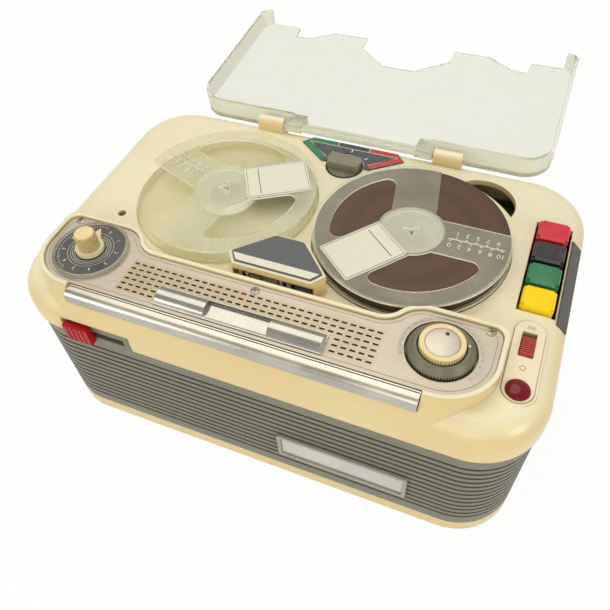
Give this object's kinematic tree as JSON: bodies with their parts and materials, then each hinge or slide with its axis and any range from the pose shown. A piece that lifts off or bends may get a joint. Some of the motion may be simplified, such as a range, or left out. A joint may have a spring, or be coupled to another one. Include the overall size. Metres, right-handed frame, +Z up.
{
  "type": "reel-to-reel tape recorder",
  "caption": "Portable reel-to-reel tape recorder: cream deck on a ribbed grey case, clear reels under a hinged clear lid, coloured keys, dial, grille panel and pull-out handle.",
  "frame": {"origin": "under the middle of the case, on the flat underside of the base tray", "axes": "+X to the right seen from the front, +Y to the back, +Z up; the front with the handle bar faces -Y"},
  "size_m": [0.297, 0.3093, 0.1336],
  "materials": {
    "cream_plastic": "aged cream moulding",
    "yellowed_plastic": "yellowed cream moulding",
    "grey_plastic": "warm grey ribbed moulding",
    "satin_panel": "satin silver sheet",
    "chrome_trim": "bright plated",
    "satin_bar": "satin",
    "dark_print": "printed slate grey",
    "black_plastic": "matt black",
    "clear_plastic": "clear moulding",
    "paper": "plain paper",
    "tape_brown": "wound oxide tape",
    "steel": "ground steel",
    "sheet_steel": "plated sheet",
    "bronze": "sintered bushes",
    "dark_metal": "dark enamel",
    "paper_cone": "pressed basket and cone",
    "board": "paper laminate",
    "valve_glass": "blown glass",
    "belt_rubber": "moulded rubber",
    "grey_rubber": "ground rubber",
    "key_red": "gloss",
    "key_black": "gloss",
    "key_green": "gloss",
    "key_yellow": "gloss",
    "knob_grey": "fluted",
    "jewel_red": "faceted lamp jewel",
    "slider_red": "gloss"
  },
  "bodies": {
    "case": {"base_tray": "yellowed_plastic", "ribbed_band": "grey_plastic", "deck": "cream_plastic", "front_panel": "satin_panel", "grip_trim": "chrome_trim", "head_cover": "yellowed_plastic", "head_plate": "dark_print", "speed_plate": "dark_print", "key_strip": "dark_print", "badge_frame": "grey_plastic", "badge_plate": "satin_panel", "switch_plate": "cream_plastic", "jewel_lamp": "jewel_red", "dial_face": "black_plastic", "dial_bezel": "satin_panel", "hinge_pins": "steel", "key_rod": "steel", "chassis_plate": "sheet_steel", "chassis_screws": "steel", "spindle_bushes": "bronze", "capstan_bearing": "bronze", "record_head": "sheet_steel", "erase_head": "sheet_steel", "tape_guides": "chrome_trim", "volume_pot": "sheet_steel", "motor": "dark_metal", "drive_belt": "belt_rubber", "transformer": "dark_metal", "speaker": "paper_cone", "amplifier_board": "board", "valves": "valve_glass", "mains_inlet": "black_plastic", "audio_sockets": "black_plastic", "base_screws": "steel", "panel_screws": "steel"},
    "lid": {"lid": "clear_plastic"},
    "left_reel_body": {"left_reel": "clear_plastic", "left_label": "paper", "left_spindle": "steel"},
    "right_reel_body": {"right_reel": "clear_plastic", "right_label": "paper", "tape_pack": "tape_brown", "right_spindle": "steel"},
    "key_record": {"key_record": "key_red"},
    "key_stop": {"key_stop": "key_black"},
    "key_play": {"key_play": "key_green"},
    "key_rewind": {"key_rewind": "key_yellow"},
    "speed_knob": {"speed_knob": "knob_grey"},
    "dial": {"dial_pointer": "yellowed_plastic", "dial_knob": "yellowed_plastic"},
    "tone_ring": {"tone_ring": "knob_grey"},
    "volume": {"volume_knob": "yellowed_plastic", "volume_cap": "satin_panel"},
    "switch_slider": {"switch_slider": "slider_red"},
    "power_slider": {"power_slider": "slider_red"},
    "carry_handle": {"carry_handle": "satin_bar"},
    "capstan": {"capstan": "steel"},
    "motor_pulley": {"motor_pulley": "steel"},
    "pinch_arm": {"pinch_arm": "sheet_steel"},
    "pinch_roller": {"pinch_roller": "grey_rubber"}
  },
  "joints": [
    {"name": "lid_hinge", "type": "hinge", "parent": "case", "child": "lid", "pos_m": [0, 0.0885, 0.1145], "axis": [1, 0, 0], "range_deg": [0, 176]},
    {"name": "left_reel_spin", "type": "hinge", "parent": "case", "child": "left_reel_body", "pos_m": [-0.0573, 0.0138, 0.11], "axis": [0, 0, 1], "continuous": true},
    {"name": "right_reel_spin", "type": "hinge", "parent": "case", "child": "right_reel_body", "pos_m": [0.0573, 0.0138, 0.11], "axis": [0, 0, 1], "continuous": true},
    {"name": "key_record_press", "type": "hinge", "parent": "case", "child": "key_record", "pos_m": [0.1125, 0.0443, 0.0975], "axis": [0, 1, 0], "range_deg": [0, 6], "stiffness_Nm_per_rad": 0.5, "springref_deg": -5.73},
    {"name": "key_stop_press", "type": "hinge", "parent": "case", "child": "key_stop", "pos_m": [0.1125, 0.0273, 0.0975], "axis": [0, 1, 0], "range_deg": [0, 6], "stiffness_Nm_per_rad": 0.5, "springref_deg": -5.73},
    {"name": "key_play_press", "type": "hinge", "parent": "case", "child": "key_play", "pos_m": [0.1125, 0.0103, 0.0975], "axis": [0, 1, 0], "range_deg": [0, 6], "stiffness_Nm_per_rad": 0.5, "springref_deg": -5.73},
    {"name": "key_rewind_press", "type": "hinge", "parent": "case", "child": "key_rewind", "pos_m": [0.1125, -0.0067, 0.0975], "axis": [0, 1, 0], "range_deg": [0, 6], "stiffness_Nm_per_rad": 0.5, "springref_deg": -5.73},
    {"name": "speed_turn", "type": "hinge", "parent": "case", "child": "speed_knob", "pos_m": [0, 0.0645, 0.11], "axis": [0, 0, 1], "range_deg": [-40, 40]},
    {"name": "dial_turn", "type": "hinge", "parent": "case", "child": "dial", "pos_m": [-0.1033, -0.06, 0.121], "axis": [0, 0, 1], "range_deg": [-135, 135]},
    {"name": "tone_turn", "type": "hinge", "parent": "case", "child": "tone_ring", "pos_m": [0.0927, -0.06, 0.12], "axis": [0, 0, 1], "range_deg": [-135, 135]},
    {"name": "volume_turn", "type": "hinge", "parent": "case", "child": "volume", "pos_m": [0.0927, -0.06, 0.122], "axis": [0, 0, 1], "range_deg": [-135, 135]},
    {"name": "switch_slide", "type": "slide", "parent": "case", "child": "switch_slider", "axis": [0, 1, 0], "range_m": [0, 0.0032]},
    {"name": "power_slide", "type": "slide", "parent": "case", "child": "power_slider", "axis": [1, 0, 0], "range_m": [0, 0.022]},
    {"name": "handle_pull", "type": "slide", "parent": "case", "child": "carry_handle", "axis": [0, -1, 0], "range_m": [0, 0.015]},
    {"name": "capstan_spin", "type": "hinge", "parent": "case", "child": "capstan", "pos_m": [0.008, -0.0425, 0.09], "axis": [0, 0, 1], "continuous": true},
    {"name": "pulley_spin", "type": "hinge", "parent": "case", "child": "motor_pulley", "pos_m": [0.008, 0.04, 0.041], "axis": [0, 0, 1], "continuous": true},
    {"name": "pinch_swing", "type": "hinge", "parent": "case", "child": "pinch_arm", "pos_m": [0.0095, -0.0345, 0.113], "axis": [0, 0, 1], "range_deg": [-4.7, 0]},
    {"name": "pinch_spin", "type": "hinge", "parent": "pinch_arm", "child": "pinch_roller", "pos_m": [0.016, -0.0425, 0.115], "axis": [0, 0, 1], "continuous": true}
  ],
  "couplings": [
    {"joint": "pulley_spin", "follows": "capstan_spin", "ratio": 4.75},
    {"joint": "pinch_swing", "follows": "key_play_press", "ratio": -0.78}
  ]
}
